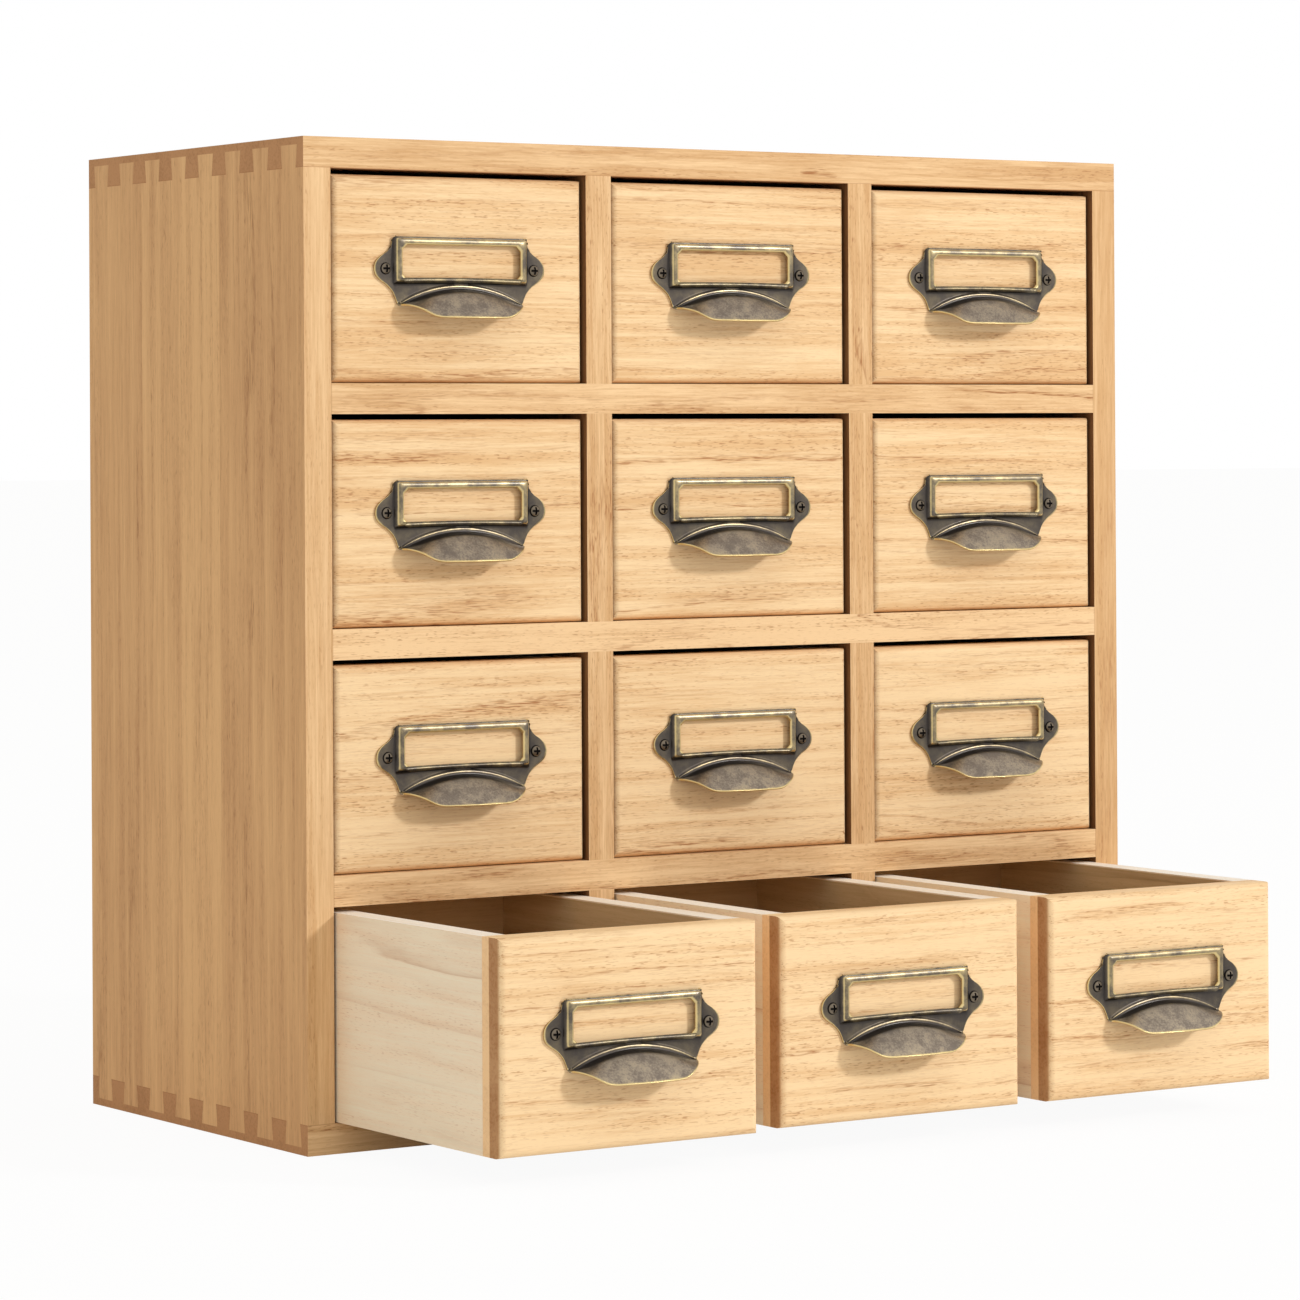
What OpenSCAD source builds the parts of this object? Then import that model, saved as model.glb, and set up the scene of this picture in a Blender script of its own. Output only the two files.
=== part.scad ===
// Card catalog cabinet: a dovetailed wooden case with four rows of three inset drawers.
// Each drawer front carries a stamped metal label holder with a finger lip below it.
// The origin is at the centre of the underside. The front faces -Y and +Z is up.
// Rows are lettered from the top down and columns are numbered from the left.

/* [Case] */
// Width of the case
case_w = 400; // [350:1:480]
// Depth of the case, front to back
case_d = 183; // [165:1:230]
// Height of the case
case_h = 394; // [360:1:480]
// Thickness of the top, bottom and side boards
board_t = 12; // [11:0.5:15]
// Thickness of the shelves between the rows
shelf_t = 12; // [9:0.5:15]
// Thickness of the upright dividers between the columns
divider_t = 12; // [8:0.5:15]
// Thickness of the back panel
back_t = 4; // [3:0.5:5]
// Width of the rebate that the back panel sits in
back_rebate = 6; // [5:0.5:7]
// Play of the back panel in its rebate
back_play = 0.25; // [0:0.05:1]

/* [Joints in the case] */
// Number of dovetails along each end of a side board
tail_count = 8; // [5:1:9]
// Height of the dovetails, which leaves a lap over them
tail_h = 9; // [6:0.5:10]
// Width of the end-grain pins between the dovetails, at their root
pin_w = 12; // [8:0.5:14]
// How much wider each flank of a dovetail is at its end than at its root
tail_flare = 1; // [0.3:0.1:1.5]
// Depth of the housings for the shelves in the sides
shelf_housing = 4; // [2:0.5:5]
// Depth of the housings for the dividers in the shelves
divider_housing = 3; // [1:0.5:3.5]
// Distance behind the front at which the housings stop
housing_stop = 10; // [5:1:30]

/* [Drawers] */
// Gap at each side of a drawer
drawer_side_gap = 1; // [0.5:0.1:2]
// Gap above a drawer
drawer_top_gap = 2.2; // [1:0.1:4]
// Gap below a drawer
drawer_bottom_gap = 0.3; // [0.2:0.1:1]
// How far a closed drawer front sits behind the front of the case
front_recess = 1.25; // [0:0.25:3]
// Gap between a closed drawer and the back panel
stop_gap = 0.5; // [0.3:0.1:3]
// Thickness of a drawer front
front_t = 12; // [11:0.5:16]
// Radius of the rounded front edges
front_round = 3; // [1:0.5:4]
// Thickness of the drawer sides
drawer_side_t = 10; // [7:0.5:12]
// Thickness of the drawer back
drawer_back_t = 9; // [7:0.5:12]
// Thickness of the drawer bottom
drawer_bottom_t = 3; // [2:0.5:5]
// Height of the drawer bottom above the lower edges
drawer_bottom_up = 4; // [3:0.5:8]
// Depth of the grooves for the drawer bottom
groove_depth = 3; // [2:0.5:4]
// Play of the drawer bottom in its grooves
groove_play = 0.1; // [0.05:0.05:0.3]
// Thickness of the glue line between the boards of a drawer
glue_line = 0.05; // [0.02:0.01:0.1]
// Opening of the lower left drawer
lower_left_open = 121.75; // [0:0.25:125]
// Opening of the lower middle drawer
lower_middle_open = 116.25; // [0:0.25:125]
// Opening of the lower right drawer
lower_right_open = 117; // [0:0.25:125]

/* [Label pull] */
// Height of the screw line above the centre of the drawer front
pull_raise = 4; // [0:0.5:8]
// Distance from the flanks of the label frame to the screws
screw_side = 3.25; // [2.5:0.25:6]
// Radius of the ears around the screws
ear_r = 5; // [4:0.25:6]
// Radius of the hollow corners above and below the ears
ear_fillet = 4; // [3:0.25:5]
// How far those hollows cut into the ears and the frame's flanks
fillet_bite = 0.1; // [0.05:0.05:0.3]
// Thickness of the sheet metal
sheet_t = 1; // [0.8:0.1:1.4]
// Width of the raised label frame
frame_w = 61.5; // [58:0.5:63]
// Height of the label frame above the screw line
frame_top = 12.5; // [11:0.5:18]
// Depth of the label frame below the screw line
frame_bottom = 6; // [4:0.5:6.5]
// Height of the label frame above the wood
frame_rise = 3; // [2.4:0.1:4]
// Depth of the space for the card behind the frame
card_gap = 1.8; // [0.5:0.1:2.2]
// Width of the frame's upper bar
bar_top = 3.2; // [2:0.1:5]
// Width of the frame's side bars
bar_side = 4; // [3:0.5:6]
// Width of the frame's lower bar
bar_bottom = 2; // [1.5:0.5:3]
// Chamfer at the corners of the window
window_chamfer = 2; // [0.5:0.5:3]
// Height left for the card between the frame's side walls and its bars
card_margin = 2; // [1:0.5:3]
// Half width of the finger lip where it leaves the wood
lip_half_w = 28; // [24:0.5:28.5]
// How far the plate's lower corners reach past the ends of the lip
corner_margin = 0.6; // [0.4:0.1:1.2]
// How far the finger lip stands out from the wood
lip_reach = 14; // [10:0.5:18]
// Depth of the lip's edge below the screw line
lip_drop = 19.1; // [17:0.1:22]
// Width of the straight part of the lip's edge
lip_flat_w = 32; // [20:1:36]
// Radius of the lip's lower corners
lip_round = 5; // [1:0.5:6]
// Height of the lip's edge at its two ends
lip_end_h = 0.5; // [0.3:0.1:1.5]
// Radius of the arch where the lip leaves the plate
arch_r = 59; // [54:1:70]
// Depth of the top of that arch below the screw line
arch_drop = 6.7; // [6.6:0.1:8]
// Width of the steep band below the arch
band_w = 2; // [1.5:0.1:4]
// Height of that band's lower edge above the wood
band_rise = 5; // [3:0.1:6]

/* [Screws] */
// Diameter of the screw shanks
screw_d = 2.4; // [2:0.1:2.8]
// Length of the screws in the wood
screw_length = 9; // [6:0.5:9.5]
// Radial clearance of the shanks in the wood and the ears
screw_clearance = 0.1; // [0.05:0.05:0.3]
// Diameter of the screw heads
head_d = 4.8; // [4:0.1:6]
// Height of the domed screw heads
head_h = 1.4; // [1:0.1:2]
// Width of the slots in the cross recess
cross_w = 0.6; // [0.4:0.1:0.8]
// Length of those slots
cross_length = 2.8; // [2:0.1:3.5]
// Depth of the cross recess
cross_depth = 0.8; // [0.5:0.1:1]

/* [Hidden] */
$fn = 96;
rows = 4;
columns = 3;
row_letters = "abcd";
over = 1; // how far a cutting shape passes the face that it opens

inner_w = case_w - 2 * board_t;
inner_h = case_h - 2 * board_t;
cell_w = (inner_w - (columns - 1) * divider_t) / columns;
cell_h = (inner_h - (rows - 1) * shelf_t) / rows;
front_y = -case_d / 2;
back_y = case_d / 2;
bay_back_y = back_y - back_t;
tail_pitch = case_d / tail_count;
tail_root_w = tail_pitch - pin_w;

drawer_w = cell_w - 2 * drawer_side_gap;
drawer_h = cell_h - drawer_top_gap - drawer_bottom_gap;
drawer_d = bay_back_y - stop_gap - front_y - front_recess;
well_w = drawer_w - 2 * drawer_side_t;
drawer_bottom_top = drawer_bottom_up + drawer_bottom_t;
lower_open = [lower_left_open, lower_middle_open, lower_right_open];

pull_z = drawer_h / 2 + pull_raise;
screw_x = frame_w / 2 + screw_side;
pull_holes = [-screw_x, screw_x];
fillet_x = frame_w / 2 + ear_fillet - fillet_bite;
fillet_z = sqrt((ear_r + ear_fillet - fillet_bite) ^ 2 - (fillet_x - screw_x) ^ 2);
arch_z = -arch_drop - arch_r;
corner_x = lip_half_w + corner_margin;
corner_z = arch_z + sqrt(arch_r ^ 2 - corner_x ^ 2);
lip_end_z = arch_z + sqrt(arch_r ^ 2 - lip_half_w ^ 2) - lip_end_h;
edge_r = -lip_drop - arch_z;
head_r = (head_d ^ 2 / 4 + head_h ^ 2) / (2 * head_h);

function cell_name(row, col) = str(row_letters[row], col + 1);
function floor_z(row) = board_t + (rows - 1 - row) * (cell_h + shelf_t);
function cell_x(col) = (col - (columns - 1) / 2) * (cell_w + divider_t);
function divider_x(gap) = (gap - (columns - 2) / 2) * (cell_w + divider_t);
function opening(row, col) = row == rows - 1 ? lower_open[col] : 0;

// Unit normal on the hollow side of a line between two points of a profile.
function inward(a, b) = [a[1] - b[1], b[0] - a[0]] / norm(b - a);
// Corner of a sheet of thickness t below the bend at b between a and c.
function inner_corner(a, b, c, t) =
    b + t * (inward(a, b) + inward(b, c)) / (1 + inward(a, b) * inward(b, c));

drawer_pieces = ["drawer_front", "drawer_box", "label_pull", "pull_screws"];

// A block between two values on each axis.
module block(x, y, z) {
    translate([x[0], y[0], z[0]]) cube([x[1] - x[0], y[1] - y[0], z[1] - z[0]]);
}

// Turns a drawing of (depth, height) into a slab that runs along X, centred on x = 0.
module along_x(length) {
    rotate([90, 0, 90]) linear_extrude(length, center = true) children();
}

// Turns a drawing of (x, height) into a slab that stands out from y = 0 towards -Y.
module out_of_wood(from, to) {
    rotate([90, 0, 0]) translate([0, 0, from]) linear_extrude(to - from) children();
}

// The dovetails along one end of a side board, as (depth, height) above their root.
module tail_outlines() {
    for (i = [0 : tail_count - 1])
        translate([front_y + (i + 0.5) * tail_pitch, 0])
            polygon([
                [-tail_root_w / 2, 0],
                [tail_root_w / 2, 0],
                [tail_root_w / 2 + tail_flare, tail_h],
                [-tail_root_w / 2 - tail_flare, tail_h]
            ]);
}

// The outline of a side board with its dovetails, as (depth, height).
module side_outline() {
    translate([front_y, board_t]) square([case_d, inner_h]);
    translate([0, case_h - board_t]) tail_outlines();
    translate([0, board_t]) mirror([0, 1]) tail_outlines();
}

module both_sides() {
    for (side = [-1, 1])
        translate([side * (case_w - board_t) / 2, 0, 0]) along_x(board_t) side_outline();
}

// The space for the back panel, open at the back.
module back_rebate_space() {
    reach = back_rebate;
    block([-inner_w / 2 - reach, inner_w / 2 + reach],
          [bay_back_y, back_y + over],
          [board_t - reach, case_h - board_t + reach]);
}

// The shelf under a row, let into both sides behind a square front corner.
module shelf_body(row, past = 0) {
    z = [floor_z(row) - shelf_t, floor_z(row)];
    block([-inner_w / 2, inner_w / 2], [front_y, bay_back_y], z);
    shelf_tongues(row, past);
}

module shelf_tongues(row, past = 0) {
    block([-inner_w / 2 - shelf_housing, inner_w / 2 + shelf_housing],
          [front_y + housing_stop, bay_back_y + past],
          [floor_z(row) - shelf_t, floor_z(row)]);
}

// The parts of a row's dividers that are let into the boards above and below.
module divider_tongues(row, past = 0) {
    for (gap = [0 : columns - 2])
        block([divider_x(gap) - divider_t / 2, divider_x(gap) + divider_t / 2],
              [front_y + housing_stop, bay_back_y + past],
              [floor_z(row) - divider_housing, floor_z(row) + cell_h + divider_housing]);
}

module top_board() {
    color("burlywood") difference() {
        block([-case_w / 2, case_w / 2], [front_y, back_y], [case_h - board_t, case_h]);
        both_sides();
        divider_tongues(0, over);
        back_rebate_space();
    }
}

module bottom_board() {
    color("burlywood") difference() {
        block([-case_w / 2, case_w / 2], [front_y, back_y], [0, board_t]);
        both_sides();
        divider_tongues(rows - 1, over);
        back_rebate_space();
    }
}

module side_board(side) {
    color("tan") difference() {
        translate([side * (case_w - board_t) / 2, 0, 0]) along_x(board_t) side_outline();
        for (row = [0 : rows - 2]) shelf_tongues(row, over);
        back_rebate_space();
    }
}

module back_panel() {
    reach = back_rebate - back_play;
    color("tan")
        block([-inner_w / 2 - reach, inner_w / 2 + reach],
              [bay_back_y, back_y],
              [board_t - reach, case_h - board_t + reach]);
}

module shelf(row) {
    color("burlywood") difference() {
        shelf_body(row);
        divider_tongues(row, over);
        divider_tongues(row + 1, over);
    }
}

// The upright dividers of one gap between columns, one for each row.
module dividers(gap) {
    x = [divider_x(gap) - divider_t / 2, divider_x(gap) + divider_t / 2];
    color("burlywood") for (row = [0 : rows - 1]) {
        z = [floor_z(row), floor_z(row) + cell_h];
        block(x, [front_y, bay_back_y], z);
        block(x, [front_y + housing_stop, bay_back_y], z + [-divider_housing, divider_housing]);
    }
}

// Moves a drawer's piece from its own origin, at the foot of its front face, to its cell.
module in_cell(row, col) {
    translate([
        cell_x(col),
        front_y + front_recess - opening(row, col),
        floor_z(row) + drawer_bottom_gap
    ]) children();
}

// A board's section, with its two corners at depth 0 rounded.
module rounded_section(span) {
    translate([front_round, -span / 2]) square([front_t - front_round, span]);
    translate([0, front_round - span / 2]) square([front_t, span - 2 * front_round]);
    for (side = [-1, 1])
        translate([front_round, side * (span / 2 - front_round)]) circle(r = front_round);
}

// The drawer bottom, grown by the play of its grooves and long enough to cut them.
module bottom_panel(play, side_reach, end_reach) {
    block([-well_w / 2 - side_reach, well_w / 2 + side_reach],
          [front_t - end_reach, drawer_d - drawer_back_t + end_reach],
          [drawer_bottom_up - play, drawer_bottom_top + play]);
}

module drawer_front() {
    color("navajowhite") difference() {
        intersection() {
            translate([0, 0, drawer_h / 2]) along_x(drawer_w) rounded_section(drawer_h);
            linear_extrude(drawer_h) rotate(90) rounded_section(drawer_w);
        }
        bottom_panel(groove_play, groove_depth, groove_depth);
        for (x = pull_holes)
            translate([x, 0, pull_z]) rotate([-90, 0, 0])
                translate([0, 0, -over])
                    cylinder(d = screw_d + 2 * screw_clearance, h = screw_length + 2 * over);
    }
}

// The two sides, the back and the bottom of a drawer, as four boards.
module drawer_box() {
    side_y = [front_t + glue_line, drawer_d];
    back_x = well_w / 2 - glue_line;
    color("wheat") {
        for (side = [-1, 1])
            difference() {
                translate([side * (drawer_w - drawer_side_t) / 2, 0, 0])
                    block([-drawer_side_t / 2, drawer_side_t / 2], side_y, [0, drawer_h]);
                bottom_panel(groove_play, groove_depth, drawer_back_t + over);
            }
        difference() {
            block([-back_x, back_x], [drawer_d - drawer_back_t, drawer_d], [0, drawer_h]);
            bottom_panel(groove_play, over, groove_depth);
        }
        bottom_panel(0, groove_depth - groove_play, groove_depth - groove_play);
    }
}

// The outline of the flat plate, with the ears and the hollow corners beside them.
module plate_outline() {
    half_w = frame_w / 2;
    difference() {
        union() {
            translate([-half_w, 0]) square([frame_w, frame_top]);
            polygon([
                [-half_w, over], [-half_w, -fillet_z], [-corner_x, corner_z],
                [corner_x, corner_z], [half_w, -fillet_z], [half_w, over]
            ]);
            for (side = [-1, 1]) {
                translate([side * screw_x, 0]) circle(r = ear_r);
                polygon([
                    [side * (half_w - over), -fillet_z], [side * fillet_x, -fillet_z],
                    [side * screw_x, 0],
                    [side * fillet_x, fillet_z], [side * (half_w - over), fillet_z]
                ]);
            }
        }
        for (side = [-1, 1])
            for (end = [-1, 1])
                translate([side * fillet_x, end * fillet_z]) circle(r = ear_fillet);
        translate([0, arch_z]) circle(r = arch_r);
        for (x = pull_holes)
            translate([x, 0]) circle(d = screw_d + 2 * screw_clearance);
        card_outline();
    }
}

// The area that the card covers, open at the top of the frame.
module card_outline() {
    half_w = frame_w / 2 - card_margin;
    low = bar_bottom - card_margin / 2 - frame_bottom;
    translate([-half_w, low]) square([2 * half_w, frame_top - low + over]);
}

// The window of the label frame, with chamfered corners.
module window_outline() {
    x = frame_w / 2 - bar_side;
    low = bar_bottom - frame_bottom;
    high = frame_top - bar_top;
    c = window_chamfer;
    polygon([
        [-x, low + c], [c - x, low], [x - c, low], [x, low + c],
        [x, high - c], [x - c, high], [c - x, high], [-x, high - c]
    ]);
}

// The raised frame around the label, with a slot for the card behind it.
module label_frame() {
    difference() {
        out_of_wood(0, frame_rise)
            translate([-frame_w / 2, -frame_bottom]) square([frame_w, frame_top + frame_bottom]);
        out_of_wood(-over, card_gap) card_outline();
        out_of_wood(0, frame_rise + over) window_outline();
    }
}

// The bent sheet of the finger lip, as (radius from the arch's centre, distance from the wood).
// It runs on past the lip's edge, where the outline cuts it off.
module lip_section() {
    base = [arch_r, sheet_t];
    bend = [arch_r - band_w, band_rise];
    slope = ([edge_r, lip_reach] - bend) / norm([edge_r, lip_reach] - bend);
    end = [edge_r, lip_reach] + 2 * over * slope;
    fold = inner_corner(base, bend, end, sheet_t);
    polygon([
        [arch_r + over, 0], [arch_r + over, sheet_t], base, bend, end,
        end + sheet_t * inward(bend, end), fold,
        [fold[0] + fold[1] * band_w / (band_rise - sheet_t), 0]
    ]);
}

// The outline of the lip from the front. Its lower corners are rounded in short steps, up to
// the line that touches the rounding and runs to the lip's end.
module lip_outline() {
    middle = [lip_flat_w / 2, lip_round - lip_drop];
    to_end = [lip_half_w, lip_end_z] - middle;
    touch = atan2(to_end[1], to_end[0]) - acos(lip_round / norm(to_end));
    steps = 5;
    half = concat(
        [[lip_half_w, 0], [lip_half_w, lip_end_z]],
        [for (i = [0 : steps]) let (angle = touch - (touch + 90) * i / steps)
            middle + lip_round * [cos(angle), sin(angle)]]
    );
    for (side = [0, 1])
        mirror([side, 0]) polygon(concat([[-over, 0]], half, [[-over, -lip_drop]]));
}

// The lip is a turned sheet about the arch's centre, cut to its outline.
module finger_lip() {
    intersection() {
        translate([0, 0, arch_z]) rotate([90, 0, 0]) rotate_extrude() lip_section();
        out_of_wood(-over, lip_reach + 2 * over) lip_outline();
    }
}

module label_pull() {
    color("darkkhaki") translate([0, 0, pull_z]) {
        out_of_wood(0, sheet_t) plate_outline();
        label_frame();
        finger_lip();
    }
}

// One screw, with its head resting on an ear.
module pull_screw() {
    rotate([90, 0, 0]) {
        translate([0, 0, -screw_length]) cylinder(d = screw_d, h = screw_length + sheet_t + head_h / 4);
        translate([0, 0, sheet_t]) difference() {
            intersection() {
                translate([0, 0, head_h - head_r]) sphere(r = head_r);
                cylinder(d = head_d, h = head_h);
            }
            for (turn = [0, 90])
                rotate(turn)
                    translate([-cross_length / 2, -cross_w / 2, head_h - cross_depth])
                        cube([cross_length, cross_w, cross_depth + over]);
        }
    }
}

module pull_screws() {
    color("silver") for (x = pull_holes) translate([x, 0, pull_z]) pull_screw();
}

top_board();
bottom_board();
side_board(-1);  // left_side
side_board(1);  // right_side
back_panel();
for (row = [0 : rows - 2])
    shelf(row);
for (gap = [0 : columns - 2])
    dividers(gap);
for (row = [0 : rows - 1]) for (col = [0 : columns - 1]) {
    cell = cell_name(row, col);
    in_cell(row, col) drawer_front();
    in_cell(row, col) drawer_box();
    in_cell(row, col) label_pull();
    in_cell(row, col) pull_screws();
}
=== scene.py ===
import math

import bmesh
import bpy
import numpy as np
from mathutils import Matrix, Vector


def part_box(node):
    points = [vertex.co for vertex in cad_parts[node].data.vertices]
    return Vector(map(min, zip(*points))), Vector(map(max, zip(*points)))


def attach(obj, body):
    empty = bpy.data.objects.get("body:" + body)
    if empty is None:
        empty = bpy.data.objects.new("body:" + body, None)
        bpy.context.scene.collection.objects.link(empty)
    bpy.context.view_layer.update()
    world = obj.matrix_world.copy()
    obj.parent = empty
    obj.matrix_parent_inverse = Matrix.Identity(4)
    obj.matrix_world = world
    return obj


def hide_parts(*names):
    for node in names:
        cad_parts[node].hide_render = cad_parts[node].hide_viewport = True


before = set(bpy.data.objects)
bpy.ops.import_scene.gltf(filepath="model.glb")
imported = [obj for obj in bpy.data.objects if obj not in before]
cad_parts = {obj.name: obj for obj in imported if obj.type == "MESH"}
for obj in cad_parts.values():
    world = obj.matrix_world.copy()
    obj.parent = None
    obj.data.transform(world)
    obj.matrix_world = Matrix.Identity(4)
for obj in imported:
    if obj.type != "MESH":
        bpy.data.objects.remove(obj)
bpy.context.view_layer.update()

MM = 0.001
SCREW_X = 34.0      # from the middle of a pull to its screws
WEAR = ("rub", "soot", "grey")
ROWS = "abcd"
COLUMNS = "123"
CELLS = [row + column for row in ROWS for column in COLUMNS]


# ---------------------------------------------------------------- materials

def tone(red, green, blue):
    """A display colour, from 0 to 255, as the linear colour that a shader takes."""
    display = np.array([red, green, blue]) / 255
    linear = np.where(display <= 0.04045, display / 12.92, ((display + 0.055) / 1.055) ** 2.4)
    return (*linear.tolist(), 1.0)


class Value:
    """A number that changes over a surface. Arithmetic on it adds Math nodes."""

    def __init__(self, finish, socket):
        self.finish = finish
        self.socket = socket

    def maths(self, operation, *operands):
        return self.finish.node("ShaderNodeMath", {"operation": operation}, enumerate(operands))

    def __add__(self, other):
        return self.maths("ADD", self, other)

    def __sub__(self, other):
        return self.maths("SUBTRACT", self, other)

    def __rsub__(self, other):
        return self.maths("SUBTRACT", other, self)

    def __mul__(self, other):
        return self.maths("MULTIPLY", self, other)

    def __truediv__(self, other):
        return self.maths("DIVIDE", self, other)

    def __pow__(self, other):
        return self.maths("POWER", self, other)

    def __abs__(self):
        return self.maths("ABSOLUTE", self)

    def above(self, other):
        return self.maths("GREATER_THAN", self, other)

    def below(self, other):
        return self.maths("LESS_THAN", self, other)

    def fraction(self):
        return self.maths("FRACT", self)

    def whole(self):
        return self.maths("FLOOR", self)

    def largest(self, other):
        return self.maths("MAXIMUM", self, other)

    def smallest(self, other):
        return self.maths("MINIMUM", self, other)

    def step(self, low, high):
        """0 below low, 1 above high and a smooth rise between them. With low above high it falls."""
        return self.finish.node(
            "ShaderNodeMapRange", {"interpolation_type": "SMOOTHSTEP"},
            [("Value", self), ("From Min", low), ("From Max", high)])

    __radd__ = __add__
    __rmul__ = __mul__


class Finish:
    """One material, with the nodes that its pattern is worked out by."""

    def __init__(self, name):
        self.material = bpy.data.materials.new(name)
        self.material.use_nodes = True
        self.tree = self.material.node_tree
        self.shader = self.tree.nodes["Principled BSDF"]
        self.out = self.tree.nodes["Material Output"]

    def node(self, kind, settings=None, sockets=(), output=0):
        made = self.tree.nodes.new(kind)
        for key, value in (settings or {}).items():
            if key == "stops":
                self.set_stops(made.color_ramp, value)
            else:
                setattr(made, key, value)
        for key, value in sockets:
            self.feed(made.inputs[key], value)
        return Value(self, made.outputs[output])

    def feed(self, target, value):
        if isinstance(value, Value):
            self.tree.links.new(value.socket, target)
        else:
            target.default_value = value

    @staticmethod
    def set_stops(ramp, stops):
        for _ in stops[2:]:
            ramp.elements.new(0.5)
        for element, (place, level) in zip(ramp.elements, stops):
            element.position = place
            element.color = (level, level, level, 1)

    def place(self):
        """Object coordinates in millimetres, as three numbers."""
        where = self.node("ShaderNodeTexCoord", output="Object")
        split = self.node("ShaderNodeSeparateXYZ", sockets=[(0, where)]).socket.node
        return [Value(self, split.outputs[i]) * 1000 for i in range(3)]

    def facing(self):
        """The surface's normal, as three numbers."""
        normal = self.node("ShaderNodeTexCoord", output="Normal")
        split = self.node("ShaderNodeSeparateXYZ", sockets=[(0, normal)]).socket.node
        return [Value(self, split.outputs[i]) for i in range(3)]

    def vector(self, x, y, z):
        return self.node("ShaderNodeCombineXYZ", sockets=[(0, x), (1, y), (2, z)])

    def noise(self, vector, detail=1.0, roughness=0.5):
        return self.node("ShaderNodeTexNoise", {"noise_dimensions": "3D"},
                         [("Vector", vector), ("Scale", 1.0), ("Detail", detail),
                          ("Roughness", roughness)])

    def chance(self, number):
        """A random number from 0 to 1 for each whole number."""
        return self.node("ShaderNodeTexWhiteNoise", {"noise_dimensions": "1D"}, [("W", number)])

    def ramp(self, value, stops):
        return self.node("ShaderNodeValToRGB", {"stops": stops}, [(0, value)])

    def blend(self, factor, first, second):
        """Two colours mixed, with all of the second where factor is 1."""
        return self.node("ShaderNodeMix", {"data_type": "RGBA", "blend_type": "MIX"},
                         [(0, factor), (6, first), (7, second)], output=2)

    def bump(self, height, distance, strength=1.0):
        return self.node("ShaderNodeBump", None,
                         [("Strength", strength), ("Distance", distance), ("Height", height)])

    def surface(self, **sockets):
        """Sets the shader's sockets by name, with spaces written as underscores."""
        for key, value in sockets.items():
            self.feed(self.shader.inputs[key.replace("_", " ")], value)
        return self.material


# Wood is worked out in three dimensions, so that faces, edges and ends of a board agree:
# rings round a pith beside the board, drawn out along the grain, with pores in dashes.

CASE_TONES = dict(light=tone(246, 210, 163), mid=tone(214, 170, 120), line=tone(168, 112, 68),
                  end=tone(196, 146, 102), end_dark=tone(158, 112, 72))
SIDE_TONES = dict(light=tone(234, 188, 134), mid=tone(206, 158, 110), line=tone(158, 110, 70),
                  end=tone(206, 154, 104), end_dark=tone(172, 122, 78))
FRONT_TONES = dict(light=tone(250, 219, 174), mid=tone(231, 190, 140), line=tone(180, 126, 82),
                   end=tone(255, 214, 164), end_dark=tone(172, 120, 76))
BOX_TONES = dict(light=tone(255, 243, 218), mid=tone(255, 228, 197), line=tone(202, 156, 120),
                 end=tone(230, 200, 166), end_dark=tone(196, 156, 118))
# Near-white tones for the upward faces of the drawer walls' top edges: a painted highlight.
RIM_HIGHLIGHT_TONES = dict(light=tone(255, 252, 246), mid=tone(255, 246, 232), line=tone(228, 200, 170),
                 end=tone(240, 216, 184), end_dark=tone(214, 180, 144))
# Darker tones for the faces seen only in the gaps beside the drawers: painted shade.
GAP_SHADE_TONES = dict(light=tone(150, 112, 74), mid=tone(122, 86, 54), line=tone(90, 60, 36),
                 end=tone(130, 94, 62), end_dark=tone(100, 70, 44))
# Darker tones for the faces inside a drawer: painted shade.
DRAWER_SHADE_TONES = dict(light=tone(216, 188, 148), mid=tone(192, 162, 120), line=tone(150, 118, 82),
                    end=tone(190, 158, 116), end_dark=tone(152, 120, 84))
AXES = {"X": 0, "Y": 1, "Z": 2}
# Thicknesses in millimetres: the browner outer layer of a drawer front, and a drawer's walls.
FRONT_PLY = 7.2
SIDE_WALL = 10.0
BACK_WALL = 9.0
SEAM = 0.02         # keeps a mask clear of the face that it ends at

# How dark the fronts of each row are, with 0 for the middle tone: painted light, which makes the lower rows
# lighter.
ROW_PAINTED_LIGHT = {"a": 0.1, "b": 0.05, "c": -0.1, "d": -0.25}


def board_axes(place, grain, thickness, centre):
    """Distances along, across and through a board, in millimetres from its centre."""
    across = ({"X", "Y", "Z"} - {grain, thickness}).pop()
    return [place[AXES[axis]] - centre[AXES[axis]] for axis in (grain, across, thickness)]


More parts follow.
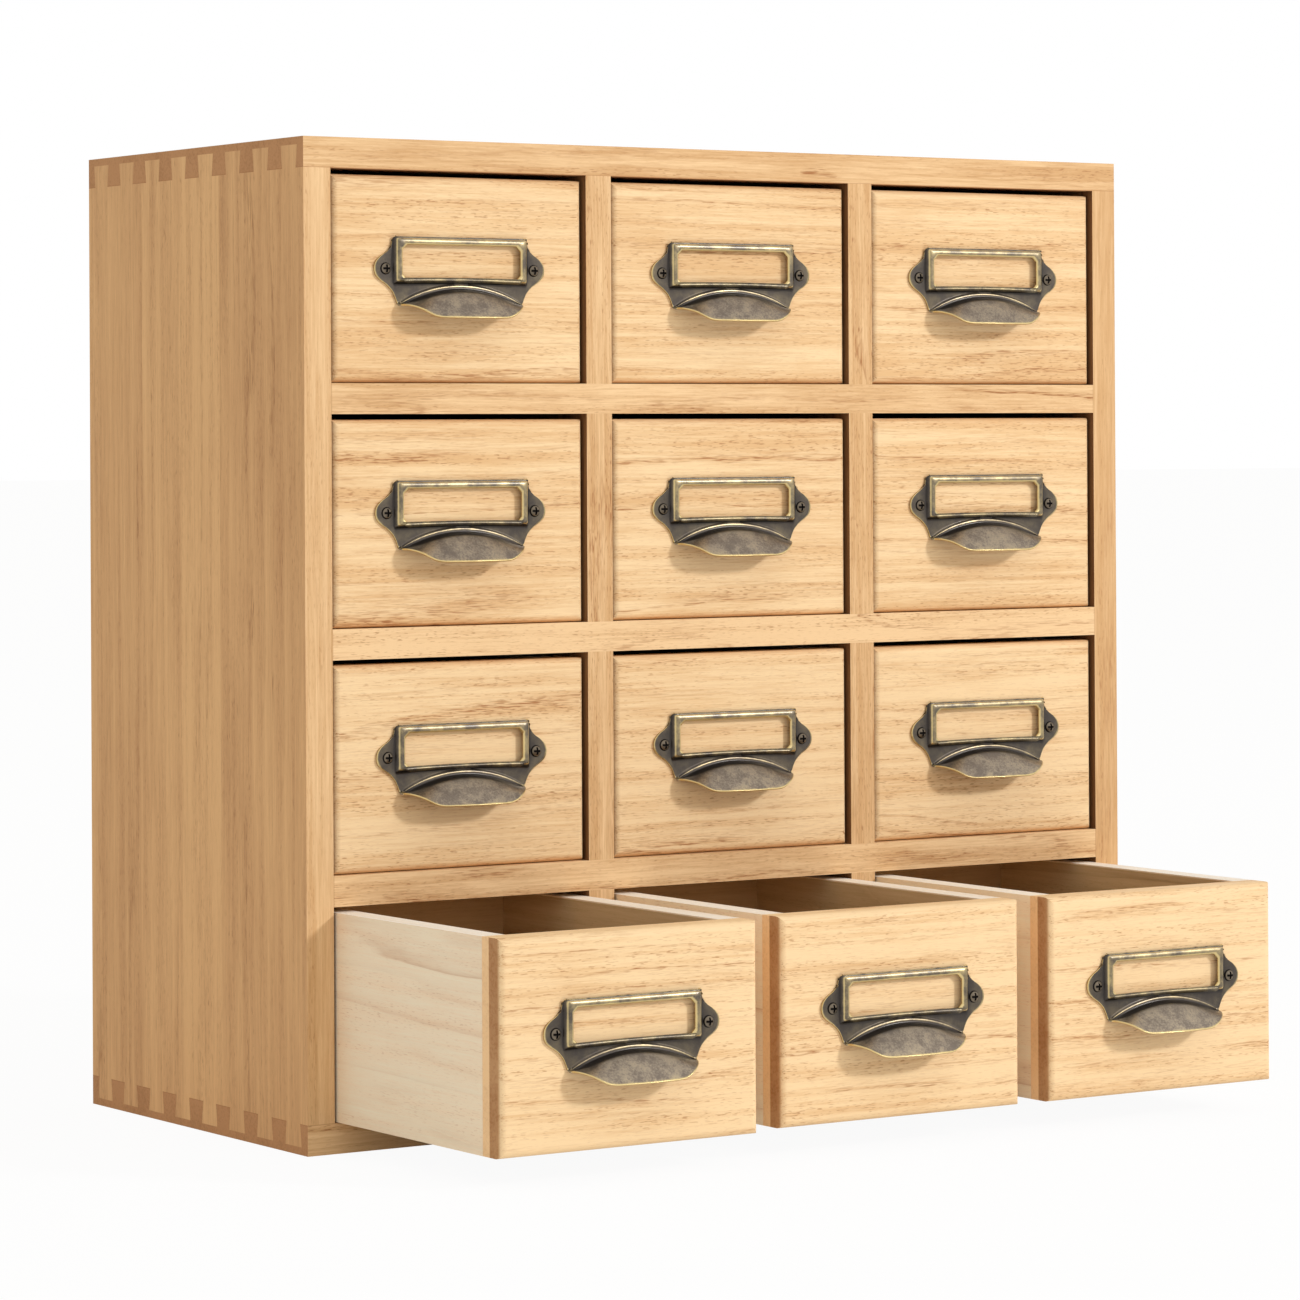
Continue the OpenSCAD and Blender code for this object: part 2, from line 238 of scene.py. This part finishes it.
def wood_grain(finish, along, across, through, seed, pith, spacing):
    """Strengths of the ring lines, dashes, pores, fibres, bands and patches at a point of a board.

    The ring number is the distance from the pith line over the ring spacing, after noises have
    bent the lines and made their widths uneven. Each ring is as strong as its own chance number,
    and fades in and out along the grain. Dashes and pores are noises drawn out along the grain."""
    sway = finish.noise(finish.vector(along / 140 + seed * 7.3, across / 60, through / 60))
    drift = finish.noise(finish.vector(along / 700 + seed * 5.9, across / 15, through / 15))
    quiver = finish.noise(finish.vector(along / 20 + seed * 3.1, across / 7, through / 7), 2.0)
    bent = across + (sway - 0.5) * 16 + (drift - 0.5) * spacing * 3 - pith[0]
    depth = through - pith[1] + along * pith[2]
    radius = (bent ** 2 + depth ** 2) ** 0.5 + (quiver - 0.5) * 1.6
    number = radius / spacing + seed
    luck = finish.chance(number.whole() + seed * 3)
    fade = finish.noise(finish.vector(along / 55 + seed * 1.7, across / 9, through / 9))
    line = finish.ramp(number.fraction(), [(0.0, 0.35), (0.05, 1.0), (0.16, 0.6), (0.36, 0.2), (0.8, 0.05),
                                           (1.0, 0.35)])
    line = line * (0.22 + 0.78 * luck ** 2) * fade.step(0.30, 0.58)
    dash = finish.noise(finish.vector(along / 8 + seed, across / 0.6, through / 0.6), 1.0).step(0.46, 0.62)
    pore = finish.noise(finish.vector(along / 3.4 - seed, across / 0.45, through / 0.45), 1.0)
    pore = pore.step(0.57, 0.72)
    fibre = finish.noise(finish.vector(along / 22 + seed, across / 0.8, through / 0.8), 3.0, 0.7)
    band = finish.noise(finish.vector(along / 230 + seed * 2.3, across / 5.5, through / 5.5), 2.0, 0.6)
    patch = finish.noise(finish.vector(along / 70 + seed * 5, across / 20, through / 20), 2.0)
    return line, dash, pore, fibre, band, patch


def colour_grain(finish, grain, tones, contrast, shade, soft):
    """The face colour from the grain's strengths, with how dark its lines are.

    soft is how much of a ring line is drawn through, where the rest of it is broken into dashes."""
    line, dash, pore, fibre, band, patch = grain
    mottle = (patch - 0.5) * 0.9 + (fibre - 0.5) * 1.9 + (band - 0.5) * 2.0 + line * 0.35 + shade
    mottle = (mottle * contrast + 0.42).smallest(1).largest(0)
    face = finish.blend(mottle, tones["light"], tones["mid"])
    broken = line * (soft + (1.1 - soft) * dash)
    dark = (broken + pore * (0.12 + 0.46 * band.step(0.42, 0.62))) * contrast
    return finish.blend(dark.smallest(1), face, tones["line"]), dark


def wood(name, tones, grain, thickness, centre, seed, pith=(0, -60, 0.05), spacing=6.0, staves=0,
         seams=(), turned=None, laminate=None, contrast=1.0, zones=(), shade=0.0, soft=0.14):
    """A board's finish. grain and thickness are axes, centre is the board's, and pith is the ring
    centre's place across and through the board and how fast it drifts along it. Each zone is a mask
    and the tones that hold where it is 1. shade above 0 is a darker board."""
    finish = Finish(name)
    place = finish.place()
    along, across, through = board_axes(place, grain, thickness, centre)
    normal = finish.facing()
    end_facing = abs(normal[AXES[grain]])
    if turned:
        mask = turned(place)
        along, through = (along + (through - along) * mask, through + (along - through) * mask)
        other = abs(normal[AXES[thickness]])
        end_facing = end_facing + (other - end_facing) * mask
    if staves:
        uneven = finish.noise(finish.vector(across / staves + seed, 0.0, 0.0)) * 1.3
        stave = (across / staves + uneven + seed * 0.37).whole()
        luck = finish.chance(stave + seed)
        across = across + luck * 170
        along = along + luck * 311
        shade = (luck - 0.5) * 0.7 + shade
    strengths = wood_grain(finish, along, across, through, seed, pith, spacing)
    face, dark = colour_grain(finish, strengths, tones, contrast, shade, soft)
    for mask, other_tones in zones:
        other_face, _ = colour_grain(finish, strengths, other_tones, contrast, shade, soft)
        face = finish.blend(mask(place, normal), face, other_face)
    cells = finish.noise(finish.vector(along / 6, across / 1.1, through / 1.1), 2.0)
    speck = strengths[0] * 0.3 + cells.step(0.4, 0.7) * 0.3 + (strengths[5] - 0.5)
    if laminate:
        speck = speck * 0.4 + 0.8 * laminate(place)
    end = finish.blend(speck.smallest(1).largest(0), tones["end"], tones["end_dark"])
    is_end = end_facing.step(0.72, 0.95)
    colour = finish.blend(is_end, face, end)
    for axis, value in seams:
        gap = abs(place[AXES[axis]] - value).step(0.4, 0.12)
        colour = finish.blend(gap * 0.5, colour, tones["line"])
    height = 1 - (dark * 0.8 + is_end * cells * 0.4)
    rough = 0.60 + dark * 0.12 + is_end * 0.12
    return finish.surface(Base_Color=colour, Roughness=rough,
                          Normal=finish.bump(height, 0.0002, 0.35), Specular_IOR_Level=0.2)


def dress(node, material):
    """Gives a CAD node's object one material."""
    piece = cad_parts[node]
    piece.data.materials.clear()
    piece.data.materials.append(material)


def box_mm(node):
    """The low and high corners of a CAD node, in millimetres."""
    low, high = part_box(node)
    return np.array(low) / MM, np.array(high) / MM


def front_edge(place, normal):
    """Where a board's front or back edge is seen."""
    return abs(normal[1]).step(0.4, 0.6)


def faces_a_drawer(place, normal):
    """The faces of uprights that only show in the gaps beside the drawers, given darker tones as painted
    shade.
    """
    return abs(normal[0]).step(0.6, 0.8) * abs(place[0]).below(box_mm("right_side")[0][0] + 0.5)


def dress_case():
    """Wood for the case's boards, whose grain runs along their length."""
    lap = [("Z", box_mm("top_board")[0][2]), ("Z", box_mm("bottom_board")[1][2])]
    inner_x = box_mm("right_side")[0][0]
    gap = (faces_a_drawer, GAP_SHADE_TONES)
    edge = (front_edge, CASE_TONES)
    # What boards of a kind share, and then each board's own shade, seams and zones.
    flat = dict(tones=CASE_TONES, grain="X", thickness="Z", pith=(190, -50, 0.05), spacing=5.0)
    upright = dict(tones=CASE_TONES, grain="Z", thickness="X", pith=(150, -30, 0.05), spacing=4.5)
    side = dict(tones=SIDE_TONES, grain="Z", thickness="X", pith=(-150, -70, 0.04), spacing=8.0,
                staves=36, contrast=0.75, zones=[edge, gap])
    ends = [("X", -inner_x), ("X", inner_x)]
    boards = [("top_board", flat, dict(shade=0.35, seams=lap)), ("bottom_board", flat, dict(seams=lap)),
              ("left_side", side, dict(shade=-0.05)), ("right_side", side, dict(shade=0.45)),
              ("shelf_1", flat, dict(shade=0.1, seams=ends)), ("shelf_2", flat, dict(shade=-0.5, seams=ends)),
              ("shelf_3", flat, dict(shade=0.0, seams=ends)),
              ("dividers_1", upright, dict(shade=0.2, zones=[gap])),
              ("dividers_2", upright, dict(shade=0.2, zones=[gap])),
              ("back_panel", side, dict(thickness="Y", pith=(20, -45, 0.06), staves=0, zones=[]))]
    for seed, (node, shared, own) in enumerate(boards, 1):
        low, high = box_mm(node)
        dress(node, wood(f"wood_{node}", centre=(low + high) / 2, seed=seed, **{**shared, **own}))


def dress_drawer(cell, seed):
    """Wood for one drawer: its front with grain across, and its box with grain from front to back."""
    rng = np.random.default_rng(seed)
    low, high = box_mm("drawer_front_" + cell)
    centre = (low + high) / 2
    laminate_y = low[1] + FRONT_PLY

    def dark_layer(place):
        return place[1].step(laminate_y + 0.3, laminate_y - 0.3)

    side = float(rng.choice([-1, 1]))
    pith = (side * float(rng.uniform(60, 170)), float(rng.uniform(-70, -25)), float(rng.uniform(-0.12, 0.12)))
    # Each front's shade by row is painted light, lighter towards the bottom.
    dress("drawer_front_" + cell,
          wood("wood_front_" + cell, FRONT_TONES, "X", "Y", centre, seed, pith=pith,
               spacing=float(rng.uniform(5, 8)), laminate=dark_layer, contrast=1.15,
               shade=ROW_PAINTED_LIGHT[cell[0]]))
    low, high = box_mm("drawer_box_" + cell)
    back_y = high[1] - BACK_WALL - SEAM
    inner = (high[0] - low[0]) / 2 - SIDE_WALL - SEAM
    middle = (low[0] + high[0]) / 2
    rim = high[2] - 0.5

    def back_board(place):
        return place[1].above(back_y) * abs(place[0] - middle).below(inner)

    def inside(place, normal):
        """The faces inside the drawer, given darker, browner tones as painted shade."""
        return abs(place[0] - middle).below(inner + 0.1) * place[2].below(rim) * place[1].below(back_y + 0.1)

    def rim_highlight(place, normal):
        """The upper edges of the drawer's walls, made near-white as a painted highlight."""
        return place[2].above(rim) * normal[2].above(0.5)

    dress("drawer_box_" + cell,
          wood("wood_box_" + cell, BOX_TONES, "Y", "X", (low + high) / 2, seed + 40,
               pith=(float(rng.uniform(-70, 70)), -48, 0.09), spacing=12.0, turned=back_board,
               contrast=0.6, soft=0.9, zones=[(inside, DRAWER_SHADE_TONES), (rim_highlight, RIM_HIGHLIGHT_TONES)]))


def wear(finish, name):
    """How far a stamped sheet is rubbed, sooty or polished at a point, from its own attribute. Along the
    arch's ridge the rubbing and polish also stand for a painted highlight.
    """
    return finish.node("ShaderNodeAttribute", {"attribute_name": name}, output="Fac")


def aged_brass(name):
    """Dark patina that is rubbed through to brass along the edges and ridges, with a painted highlight along
    the arch's ridge.
    """
    finish = Finish(name)
    x, y, z = finish.place()
    blotch = finish.noise(finish.vector(x / 7, y / 7, z / 7), 4.0, 0.6)
    grit = finish.noise(finish.vector(x / 0.8, y / 0.8, z / 0.8), 3.0, 0.6)
    rub, soot, grey = (wear(finish, layer) for layer in WEAR)
    worn = (rub + (blotch - 0.5) * 0.7 + (grit - 0.5) * 0.3).step(0.15, 0.95)
    patina = finish.blend(blotch.step(0.35, 0.65), tone(84, 76, 68), tone(116, 104, 84))
    cloud = (grit * 0.4 + blotch * 0.6).step(0.38, 0.62)
    polished = finish.blend(cloud, tone(116, 104, 92), tone(158, 144, 124))
    patina = finish.blend(grey, patina, polished)
    patina = finish.blend((soot + (grit - 0.5) * 0.2).step(0.1, 1.0), patina, tone(52, 46, 42))
    colour = finish.blend(worn, patina, tone(218, 194, 136))
    rough = 0.42 - worn * 0.12 + (grit - 0.5) * 0.12
    return finish.surface(Base_Color=colour, Metallic=0.85, Roughness=rough,
                          Coat_Weight=0.3, Coat_Roughness=0.18,
                          Normal=finish.bump(grit + blotch, 0.00006, 0.4))


def screw_brass(name, centre_x, screw_z):
    """Dark antique screws, rubbed on the rim of the head. The slot's cross and the edge round the head are
    painted near-black: painted shade, with soot in the slot.
    """
    finish = Finish(name)
    x, y, z = finish.place()
    across = abs(abs(x - centre_x) - SCREW_X)
    up = abs(z - screw_z)
    grit = finish.noise(finish.vector(x / 0.5, y / 0.5, z / 0.5), 3.0, 0.6)
    cross = (across.step(0.55, 0.3) * up.step(1.7, 1.4)).largest(up.step(0.55, 0.3) * across.step(1.7, 1.4))
    radius = (across ** 2 + up ** 2) ** 0.5
    head = finish.blend(radius.step(0.8, 1.8) * 0.5 + grit * 0.5, tone(80, 70, 62), tone(136, 124, 106))
    # The cross and the edge round the head are near-black: painted shade, with soot in the slot.
    colour = finish.blend(cross.largest(radius.step(1.9, 2.1)), head, tone(22, 17, 14))
    return finish.surface(Base_Color=colour, Metallic=0.8, Roughness=0.42 + cross * 0.4 + (grit - 0.5) * 0.2,
                          Normal=finish.bump(grit, 0.00004, 0.4))


# ---------------------------------------------------------------- label pulls

PULL = dict(
    frame_x=30.9, frame_top=12.5, frame_bottom=-6.0, flank=1.5, frame_p=3.0, plate_p=1.0,
    window_x=27.0, window_low=-4.0, window_high=9.3, chamfer=2.0, window_bow=0.6,
    arch_r=59.0, arch_z=-65.7, lip_x=28.0, ridge_p=2.0, sheet=0.8)

# The right side of the plate from the lip's end, round the ear, up to the frame's flank.
SIDE_OUTLINE = [(28.0, -13.7), (28.8, -13.2), (29.5, -11.4), (30.9, -8.8), (33.4, -6.4), (36.2, -4.6),
                (38.3, -2.6), (39.0, 0.0), (38.3, 2.6), (36.3, 4.7), (33.8, 6.3), (31.7, 8.4), (30.9, 11.0)]

# The lip's free edge as (x, z, height above the wood), from the middle to its end.
LIP_EDGE = [(0.0, -19.1, 13.9), (9.0, -19.05, 13.3), (14.5, -18.95, 12.7), (17.6, -18.4, 12.2),
            (20.3, -17.1, 11.5), (22.6, -15.7, 10.3), (24.7, -14.6, 8.2), (26.6, -13.9, 5.2),
            (28.0, -13.7, 2.0)]


def through(points, u):
    """A smooth curve through points, with u from 0 to 1: each stretch is a cubic whose slopes at
    its ends are half the difference of the points on either side."""
    points = np.array(points, float)
    padded = np.vstack([2 * points[0] - points[1], points, 2 * points[-1] - points[-2]])
    reach = np.concatenate([[0], np.cumsum(np.linalg.norm(np.diff(points, axis=0), axis=1))])
    place = np.interp(u, reach / reach[-1], np.arange(len(points)))
    i = np.minimum(place.astype(int), len(points) - 2)
    t = (place - i)[:, None]
    before, start, end, after = (padded[i + k] for k in range(4))
    return (0.5 * (2 * start + (end - before) * t + (2 * before - 5 * start + 4 * end - after) * t ** 2
                   + (3 * start - before - 3 * end + after) * t ** 3)).T


def path(s, *pieces):
    """A curve as (x, z) over s from 0 to 1. Each piece is (end of its s, function of 0..1)."""
    x = np.zeros_like(s)
    z = np.zeros_like(s)
    start = 0.0
    for end, curve in pieces:
        inside = (s >= start) & (s <= end)
        u = (s[inside] - start) / (end - start)
        x[inside], z[inside] = curve(u)
        start = end
    return x, z


def line(a, b):
    return lambda u: (a[0] + (b[0] - a[0]) * u, a[1] + (b[1] - a[1]) * u)


def arc(centre, radius, start, end):
    """An arc whose angles are in degrees from +X towards +Z."""
    def curve(u):
        angle = np.radians(start + (end - start) * u)
        return centre[0] + radius * np.cos(angle), centre[1] + radius * np.sin(angle)
    return curve


CORNER, SIDE, FLANK, TOP = 0.40, 0.46, 0.74, 0.80     # where the curves of a pull turn, along s


def window_curve(s, grow):
    """The window's rim, grown outwards. Its lower side is bowed up at the middle."""
    p = PULL
    x, low, high, c = (p["window_x"] + grow, p["window_low"] - grow, p["window_high"] + grow, p["chamfer"])
    return path(
        s,
        (CORNER, lambda u: ((x - c) * u, low + p["window_bow"] * (1 - u ** 2))),
        (SIDE, line((x - c, low), (x, low + c))),
        (FLANK, line((x, low + c), (x, high - c))),
        (TOP, line((x, high - c), (x - c, high))),
        (1.0, line((x - c, high), (0, high))))


def frame_curve(s, shrink, bend=0.8):
    """The raised frame's outline, shrunk. Its flank is steeper along the top."""
    p = PULL
    x, low, high = p["frame_x"] - shrink, p["frame_bottom"] + shrink, p["frame_top"] - shrink * 0.5
    bow = p["window_bow"] * 0.5
    return path(
        s,
        (CORNER, lambda u: ((x - bend) * u, low + bow * (1 - u ** 2))),
        (SIDE, arc((x - bend, low + bend), bend, -90, 0)),
        (FLANK, line((x, low + bend), (x, high - bend))),
        (TOP, arc((x - bend, high - bend), bend, 0, 90)),
        (1.0, line((x - bend, high), (0, high))))


def arch_curve(s, depth):
    """The plate's outline, whose lower side is the arch. Depth below the arch tapers off at its ends."""
    p = PULL
    end = math.asin(p["lip_x"] / p["arch_r"])
    top_side = frame_curve(s, 0.0)

    def arch(u):
        radius = p["arch_r"] - depth * (1 - u ** 6)
        return radius * np.sin(end * u), p["arch_z"] + radius * np.cos(end * u)
    x, z = path(s, (CORNER, arch), (FLANK, lambda u: through(SIDE_OUTLINE, u)), (1.0, lambda u: (u, u)))
    rest = s >= FLANK
    return np.where(rest, top_side[0], x), np.where(rest, top_side[1], z)


def half_rings(s):
    """The curves of the right half of a pull, from its window out to its edge.

    Each is x, z, height above the wood, and how far it is rubbed bright, sooty or polished grey. s
    runs from the middle of the lower side, round the right, to the middle of the upper side."""
    p = PULL
    below = s <= CORNER
    along = np.clip(s / CORNER, 0, 1)
    taper = np.where(below, 1 - along ** 6, 0)
    rings = []

    def add(curve, height, rub=0.0, soot=0.0, grey=0.0):
        rings.append(np.array([curve[0], curve[1], height + 0 * s, rub + 0 * s, soot + 0 * s, grey + 0 * s]))

    high, flat = p["frame_p"], p["plate_p"]
    add(window_curve(s, 0.0), high - 0.75, 0.95)
    add(window_curve(s, 0.15), high - 0.35, 1.0)
    add(window_curve(s, 0.55), high - 0.08, 0.8)
    add(window_curve(s, 0.95), high, 0.34)
    add(frame_curve(s, p["flank"] + 0.1), high - 0.05, 0.36)
    add(frame_curve(s, p["flank"] * 0.82), high - 0.3, 0.85)
    add(frame_curve(s, p["flank"] * 0.5), high - 0.95, 0.05, 0.5)
    # The flank falls to the plate, but only to the card's slot along the top.
    at_top = np.clip((s - FLANK) / (TOP - FLANK), 0, 1)
    foot = flat + (high - 0.8 - flat) * at_top
    add(frame_curve(s, 0.12), foot + 0.25 * (1 - at_top), 0.0, 0.9)
    inner = np.array(frame_curve(s, 0.0))
    outer = np.array(arch_curve(s, -1.1))
    add(inner, foot, 0.0, 1.0)
    for share, soot in ((0.12, 0.75), (0.5, 0.55), (0.9, 0.5)):
        add(inner + (outer - inner) * share, foot, 0.03 + 0.12 * share, soot)
    side_rub = np.where(below, 0.05, 0.9)
    add(outer, foot, side_rub, np.where(below, 0.55, 0))
    ridge = p["ridge_p"] - flat
    # The ring on the ridge's crest is rubbed and polished brighter: wear, and partly a painted highlight.
    for depth, lift, rub, soot, grey in ((-0.55, 0.55, 0.1, 0.2, 0.5), (-0.1, 1.0, 0.5, 0.0, 0.8),
                                         (0.35, 0.8, 0.1, 0.3, 0.5), (0.8, 0.75, 0.0, 1.0, 0.0),
                                         (1.3, 1.3, 0.0, 1.0, 0.0), (2.0, 3.3, 0.0, 0.8, 0.0),
                                         (2.4, 4.0, 0.0, 0.4, 0.3)):
        height = foot + np.where(below, ridge * lift * np.where(lift > 1.2, taper, 1), 0)
        add(arch_curve(s, depth), height, np.where(below, rub, 0.9), np.where(below, soot, 0),
            np.where(below, grey, 0))
    start = rings[-1]
    edge_x, edge_z, edge_p = through(LIP_EDGE, along)
    for share, rub, soot, grey in ((0.06, 0.05, 0.15, 0.7), (0.25, 0.15, 0.0, 1.0), (0.5, 0.15, 0.0, 1.0),
                                   (0.75, 0.15, 0.0, 1.0), (0.93, 0.25, 0.0, 1.0), (0.985, 0.8, 0.0, 0.5),
                                   (1.0, 1.0, 0.0, 0.0)):
        bulge = 0.35 * math.sin(math.pi * share)
        add((start[0] + np.where(below, edge_x - start[0], 0) * share,
             start[1] + np.where(below, edge_z - start[1], 0) * share),
            start[2] + np.where(below, (edge_p - start[2]) * share + bulge * taper, 0),
            np.where(below, rub, 0.9), np.where(below, soot, 0), np.where(below, grey, 0))
    return rings


def mesh_object(name, points, faces, smooth=True):
    mesh = bpy.data.meshes.new(name)
    mesh.from_pydata(points.tolist(), [], faces.tolist())
    mesh.update()
    piece = bpy.data.objects.new(name, mesh)
    bpy.context.scene.collection.objects.link(piece)
    mesh.polygons.foreach_set("use_smooth", np.full(len(mesh.polygons), smooth))
    return piece


def pull_sheet():
    """The stamped sheet about its screw line: rings of points from the window outwards, the left
    half mirrored from the right, joined into faces with a modulo over the closed rings."""
    s = np.concatenate([np.linspace(0, CORNER, 49), np.linspace(CORNER, SIDE, 9)[1:],
                        np.linspace(SIDE, FLANK, 57)[1:], np.linspace(FLANK, TOP, 9)[1:],
                        np.linspace(TOP, 1, 22)[1:]])
    rings = np.array(half_rings(s))
    left = rings[:, :, -2:0:-1].copy()
    left[:, 0] *= -1
    closed = np.concatenate([rings, left], axis=2)
    count, around = closed.shape[0], closed.shape[2]
    x, z, height = (closed[:, i].ravel() for i in range(3))
    layers = {name: closed[:, 3 + i].ravel() for i, name in enumerate(WEAR)}
    points = np.stack([x, -height, z], axis=1) * MM
    ring, turn = np.meshgrid(np.arange(count - 1), np.arange(around), indexing="ij")
    following = (turn + 1) % around
    faces = np.stack([ring * around + turn, ring * around + following,
                      (ring + 1) * around + following, (ring + 1) * around + turn], axis=-1)
    return points, faces.reshape(-1, 4), layers


def make_pull(cell, sheet, finish):
    """One pull: the sheet set on its drawer front, merged, and given its thickness."""
    points, faces, layers = sheet
    low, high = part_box("label_pull_" + cell)
    screw_z = high[2] - PULL["frame_top"] * MM
    where = np.array([(low[0] + high[0]) / 2, high[1], screw_z])
    piece = mesh_object("stamped_pull_" + cell, points + where, faces)
    for name, values in layers.items():
        layer = piece.data.attributes.new(name, "FLOAT", "POINT")
        layer.data.foreach_set("value", values)
    shape = bmesh.new()
    shape.from_mesh(piece.data)
    bmesh.ops.remove_doubles(shape, verts=shape.verts, dist=0.00002)
    bmesh.ops.dissolve_degenerate(shape, edges=shape.edges, dist=0.00001)
    bmesh.ops.recalc_face_normals(shape, faces=shape.faces)
    if sum(face.normal.y for face in shape.faces) > 0:
        bmesh.ops.reverse_faces(shape, faces=shape.faces)
    shape.to_mesh(piece.data)
    shape.free()
    wall = piece.modifiers.new("wall", "SOLIDIFY")
    wall.thickness = PULL["sheet"] * MM
    wall.offset = -1
    piece.data.materials.append(finish)
    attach(piece, "drawer_" + cell)
    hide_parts("label_pull_" + cell)
    return piece


# ---------------------------------------------------------------- studio

# The camera's place is in metres and its turns in degrees. The focal length and the place where its
# axis meets the picture are in pixels of a square frame.
CAMERA_PLACE = (-1.10831, -1.71562, 0.27604)
CAMERA_YAW = 33.34
CAMERA_PITCH = 0.287
CAMERA_ROLL = -0.294
FRAME = 1300
FOCAL = 4808.86
AXIS_X = 651.03
AXIS_Y = 415.3

AMBIENT = (1.0, 0.955, 0.87, 1)
AMBIENT_STRENGTH = 0.66
FLOOR_GLOW = 0.94        # the share of plain white in the floor; the rest of it takes the shadow


def add_camera():
    """The camera at its place, turned by yaw, pitch and roll, with a lens shift for the framing."""
    yaw, pitch, roll = (math.radians(v) for v in (CAMERA_YAW, CAMERA_PITCH, CAMERA_ROLL))
    forward = Vector((math.sin(yaw) * math.cos(pitch), math.cos(yaw) * math.cos(pitch), math.sin(pitch)))
    right = Vector((math.cos(yaw), -math.sin(yaw), 0))
    up = right.cross(forward)
    right, up = (math.cos(roll) * right + math.sin(roll) * up, math.cos(roll) * up - math.sin(roll) * right)
    data = bpy.data.cameras.new("camera")
    data.sensor_width = 36
    data.lens = 36 * FOCAL / FRAME
    data.shift_x = (FRAME / 2 - AXIS_X) / FRAME
    data.shift_y = (AXIS_Y - FRAME / 2) / FRAME
    camera = bpy.data.objects.new("camera", data)
    bpy.context.scene.collection.objects.link(camera)
    turn = Matrix((right, up, -forward)).transposed().to_4x4()
    camera.matrix_world = Matrix.Translation(CAMERA_PLACE) @ turn
    bpy.context.scene.camera = camera


def add_lamp(name, place, aim, size, watts):
    data = bpy.data.lights.new(name, "AREA")
    data.shape = "DISK"
    data.size = size
    data.energy = watts
    lamp = bpy.data.objects.new(name, data)
    bpy.context.scene.collection.objects.link(lamp)
    lamp.location = place
    lamp.rotation_euler = (Vector(aim) - Vector(place)).to_track_quat("-Z", "Y").to_euler()


def seen_directly(finish):
    """1 for rays that come from the camera or off a mirror-like surface, which see the backdrop."""
    rays = finish.tree.nodes.new("ShaderNodeLightPath")
    camera, glossy, through = (Value(finish, rays.outputs[name]) for name in
                               ("Is Camera Ray", "Is Glossy Ray", "Is Transmission Ray"))
    return camera.largest(glossy).largest(through)


def add_floor():
    """A wide pale floor that keeps a soft shadow and meets the backdrop without an edge."""
    finish = Finish("studio_floor")
    white = finish.node("ShaderNodeEmission", None, [("Color", (1, 1, 1, 1)), ("Strength", 1.0)])
    finish.surface(Base_Color=(1, 1, 1, 1), Roughness=0.9, Specular_IOR_Level=0.0)
    shaded = Value(finish, finish.shader.outputs[0])
    glow = seen_directly(finish) * FLOOR_GLOW
    mix = finish.node("ShaderNodeMixShader", None, [(0, glow), (1, shaded), (2, white)])
    finish.feed(finish.out.inputs["Surface"], mix)
    half = 30.0
    corners = np.array([(-half, -half, 0), (half, -half, 0), (half, half, 0), (-half, half, 0)])
    floor = mesh_object("studio_floor", corners, np.array([[0, 1, 2, 3]]), smooth=False)
    floor.data.materials.append(finish.material)


class Sky(Finish):
    """The world's nodes, worked with the same calls as a material's."""

    def __init__(self, world):
        world.use_nodes = True
        self.tree = world.node_tree
        self.out = self.tree.nodes["World Output"]


def add_world():
    world = bpy.data.worlds.new("studio")
    bpy.context.scene.world = world
    sky = Sky(world)
    soft = sky.node("ShaderNodeBackground", None, [(0, AMBIENT), (1, AMBIENT_STRENGTH)])
    white = sky.node("ShaderNodeBackground", None, [(0, (1, 1, 1, 1)), (1, 1.0)])
    mix = sky.node("ShaderNodeMixShader", None, [(0, seen_directly(sky)), (1, soft), (2, white)])
    sky.feed(sky.out.inputs["Surface"], mix)


def main():
    scene = bpy.context.scene
    scene.view_settings.view_transform = "Standard"
    add_camera()
    add_world()
    add_floor()
    add_lamp("key", place=(2.2, -3.1, 1.85), aim=(0, -0.1, 0.2), size=0.5, watts=74)
    dress_case()
    metal = aged_brass("aged_brass")
    sheet = pull_sheet()
    for seed, cell in enumerate(CELLS, 20):
        dress_drawer(cell, seed)
        make_pull(cell, sheet, metal)
        low, high = box_mm("pull_screws_" + cell)
        dress("pull_screws_" + cell,
              screw_brass("screws_" + cell, (low[0] + high[0]) / 2, (low[2] + high[2]) / 2))


main()
